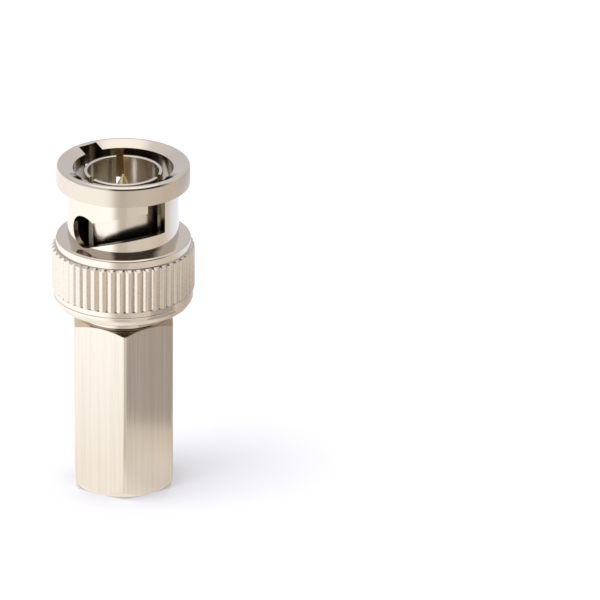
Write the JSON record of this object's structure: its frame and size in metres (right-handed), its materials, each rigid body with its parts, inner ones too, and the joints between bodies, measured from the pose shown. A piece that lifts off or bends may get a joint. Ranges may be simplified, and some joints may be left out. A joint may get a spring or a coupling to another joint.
{
  "type": "twist-on coaxial bayonet plug",
  "caption": "Straight bayonet plug for coaxial cable: hexagonal twist-on cable end, knurled coupling nut with ramped slots, slotted outer contact and gold centre pin.",
  "frame": {"origin": "centre of the ring-shaped face of the cable end, on the plug's axis", "axes": "+Z along the plug's axis from the cable end to the muzzle; one corner of the hexagon points to -Y"},
  "size_m": [0.0144, 0.0144, 0.035],
  "materials": {
    "nickel_plate": "nickel plated",
    "gold_plate": "gold plated",
    "insulator": "smooth white",
    "gasket_rubber": "matt black",
    "washer_bronze": "rolled",
    "spring_steel": "rolled"
  },
  "bodies": {
    "body": {"hex_body": "nickel_plate", "outer_contact": "nickel_plate", "centre_pin": "gold_plate", "front_insulator": "insulator", "rear_insulator": "insulator", "gasket": "gasket_rubber", "front_slip_washer": "washer_bronze", "front_wave_washer": "spring_steel", "rear_wave_washer": "spring_steel"},
    "slip": {"rear_slip_washer": "washer_bronze"},
    "nut": {"coupling_nut": "nickel_plate"}
  },
  "joints": [
    {"name": "nut_pull", "type": "slide", "parent": "body", "child": "slip", "axis": [0, 0, 1], "range_m": [0, 0.0006], "stiffness_N_per_m": 5000, "springref_m": -0.0006, "deforming": ["rear_wave_washer", "front_wave_washer"]},
    {"name": "nut_spin", "type": "hinge", "parent": "slip", "child": "nut", "pos_m": [0, 0, 0.027], "axis": [0, 0, 1], "continuous": true}
  ]
}
